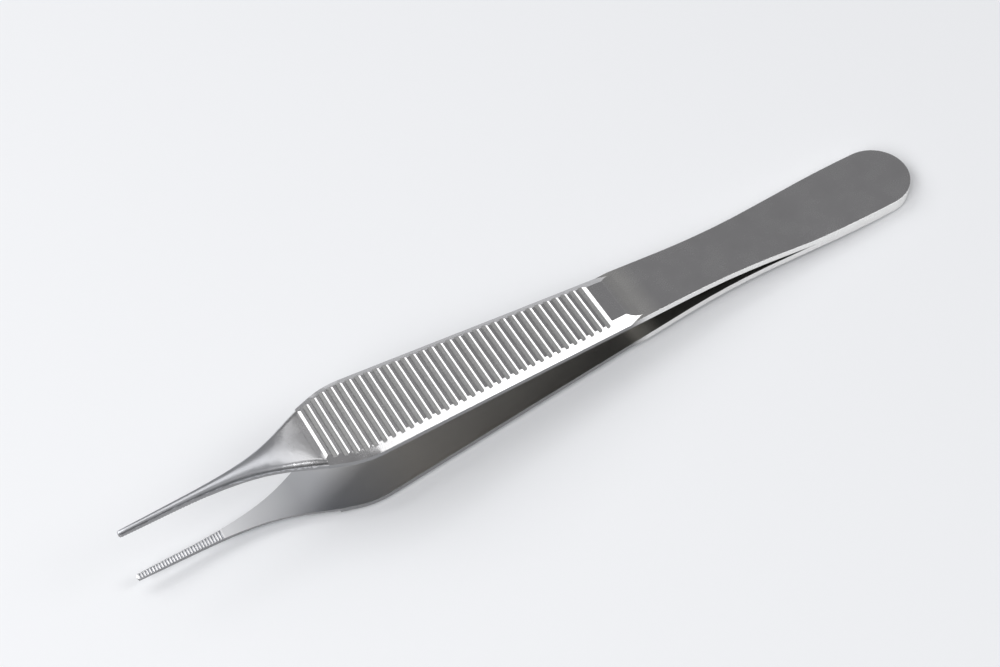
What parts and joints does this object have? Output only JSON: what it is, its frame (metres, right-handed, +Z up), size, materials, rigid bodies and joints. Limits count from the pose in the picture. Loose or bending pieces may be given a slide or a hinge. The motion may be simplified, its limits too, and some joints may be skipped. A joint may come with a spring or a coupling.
{
  "type": "thumb forceps",
  "caption": "Fine-tip thumb forceps: spring leaves welded at a rounded tail, bevelled grips with cross ridges, narrow half-round jaws with cross teeth.",
  "frame": {"origin": "centre of the bounding box at table height, with the forceps lying at rest", "axes": "+X from the tips to the tail, +Y across the grip, +Z up"},
  "size_m": [0.1198, 0.013, 0.0139],
  "materials": {
    "upper_leaf": "satin ground stainless steel, bead-blasted in the grooves",
    "lower_leaf": "satin ground stainless steel, bead-blasted in the grooves"
  },
  "bodies": {
    "root": {"upper_leaf": "upper_leaf", "lower_leaf": "lower_leaf"}
  },
  "joints": []
}
